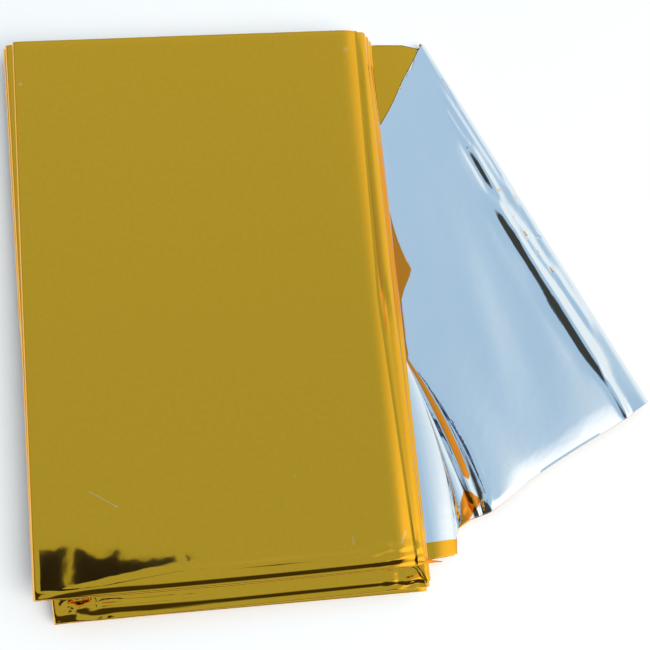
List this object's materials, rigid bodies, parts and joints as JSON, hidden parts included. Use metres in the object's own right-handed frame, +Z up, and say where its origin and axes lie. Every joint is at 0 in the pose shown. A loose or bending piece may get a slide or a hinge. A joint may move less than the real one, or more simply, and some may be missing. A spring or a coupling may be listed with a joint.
{
  "type": "emergency foil blanket",
  "caption": "Thin two-tone metallised film blanket folded back and forth into a flat packet, lowest leaf turned out on a slant as a silver flap.",
  "frame": {"origin": "middle of the folded packet's underside, on the surface that it rests on", "axes": "+Z up through the packet, -Y towards its front edge, +X towards the leaf that is turned out of it"},
  "size_m": [0.1544, 0.1408, 0.0126],
  "materials": {
    "gold_film": "vacuum-metallised polyester film, satin mirror, gold lacquer on one side and bare silver on the other"
  },
  "bodies": {
    "root": {"foil_blanket": "gold_film"}
  },
  "joints": []
}
